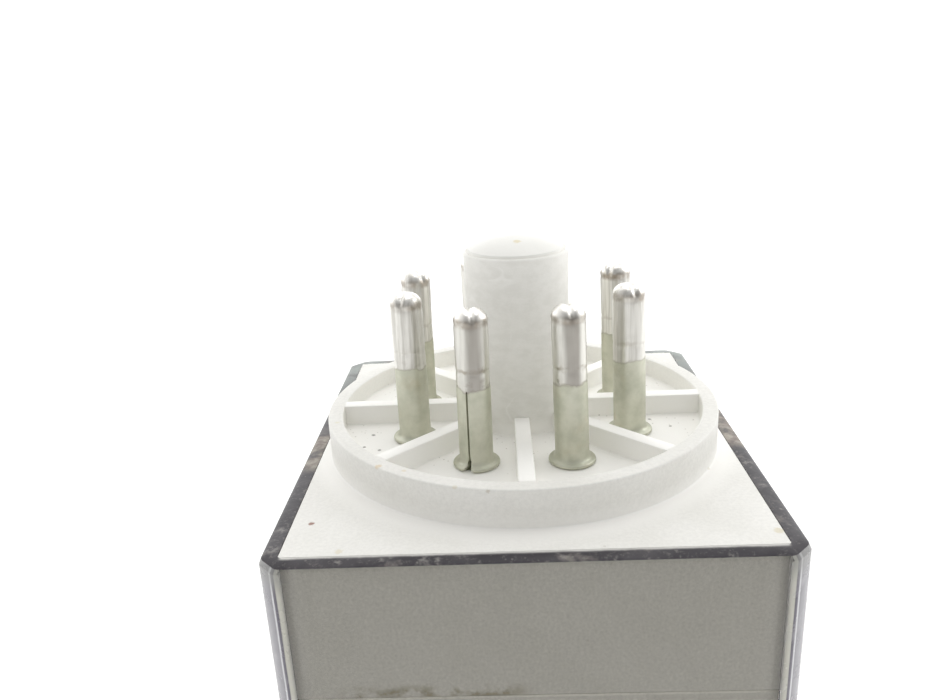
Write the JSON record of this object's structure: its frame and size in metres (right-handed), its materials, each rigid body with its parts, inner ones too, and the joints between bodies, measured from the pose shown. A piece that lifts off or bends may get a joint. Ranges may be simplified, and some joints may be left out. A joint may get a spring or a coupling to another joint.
{
  "type": "plug in relay",
  "caption": "Octal plug-in relay: smoky clear box cover, light grey base with ring, ribs and keyed centre post, ring of hollow pins, and a sealed coil, armature and changeover contacts.",
  "frame": {"origin": "centre of the cover's closed outer face, which the relay stands on with its pins up", "axes": "+Z from the cover to the pins, along the centre post; +Y towards the post's key; +X across the two poles"},
  "size_m": [0.0332, 0.0372, 0.0678],
  "materials": {
    "clear_cover": "lightly smoke-tinted clear polycarbonate, scuffed at the rim",
    "liner": "plain pale card",
    "base_moulding": "light grey moulded thermoset, fine matt grain",
    "plug_pin": "nickel-plated brass, tips tinned with solder",
    "yoke_steel": "zinc-plated soft iron",
    "core_iron": "turned soft iron",
    "shading_copper": "bare copper",
    "bobbin_nylon": "natural nylon",
    "winding_copper": "enamelled copper wire",
    "coil_tape": "amber polyester tape",
    "tinned_brass": "tinned",
    "insulator": "brown phenolic moulding",
    "fastener_steel": "zinc plated",
    "arm_bronze": "phosphor bronze spring strip",
    "contact_silver": "silver alloy",
    "spring_steel": "spring wire",
    "terminal_brass": "stamped brass",
    "lead_blue": "PVC insulation",
    "lead_red": "PVC insulation",
    "lead_white": "PVC insulation",
    "braid_copper": "bare copper braid"
  },
  "bodies": {
    "relay": {"cover": "clear_cover", "front_liner": "liner", "base": "base_moulding", "pin_1": "plug_pin", "pin_2": "plug_pin", "pin_3": "plug_pin", "pin_4": "plug_pin", "pin_5": "plug_pin", "pin_6": "plug_pin", "pin_7": "plug_pin", "pin_8": "plug_pin", "yoke": "yoke_steel", "core": "core_iron", "shading_ring": "shading_copper", "bobbin": "bobbin_nylon", "coil_winding": "winding_copper", "coil_tape": "coil_tape", "coil_lug_left": "tinned_brass", "coil_lug_right": "tinned_brass", "spring_anchor": "fastener_steel", "return_spring": "spring_steel", "contact_block": "insulator", "no_terminal_left": "terminal_brass", "no_contact_left": "contact_silver", "nc_terminal_left": "terminal_brass", "nc_contact_left": "contact_silver", "no_terminal_right": "terminal_brass", "no_contact_right": "contact_silver", "nc_terminal_right": "terminal_brass", "nc_contact_right": "contact_silver", "frame_screws": "fastener_steel", "block_screws": "fastener_steel", "coil_lead_left": "lead_blue", "no_lead_left": "lead_red", "nc_lead_left": "lead_white", "braid_left": "braid_copper", "coil_lead_right": "lead_blue", "no_lead_right": "lead_red", "nc_lead_right": "lead_white", "braid_right": "braid_copper"},
    "armature": {"armature": "yoke_steel", "arm_insulator": "insulator", "clamp_bar": "insulator", "armature_rivets": "fastener_steel", "contact_arm_left": "arm_bronze", "contact_arm_right": "arm_bronze", "moving_contact_left": "contact_silver", "moving_contact_right": "contact_silver"}
  },
  "joints": [
    {"name": "armature_hinge", "type": "hinge", "parent": "relay", "child": "armature", "pos_m": [0, 0.014, 0.01205], "axis": [-1, 0, 0], "range_deg": [0, 3.2], "stiffness_Nm_per_rad": 0.02, "springref_deg": -4.58, "deforming": ["return_spring", "braid_left", "braid_right"]}
  ]
}
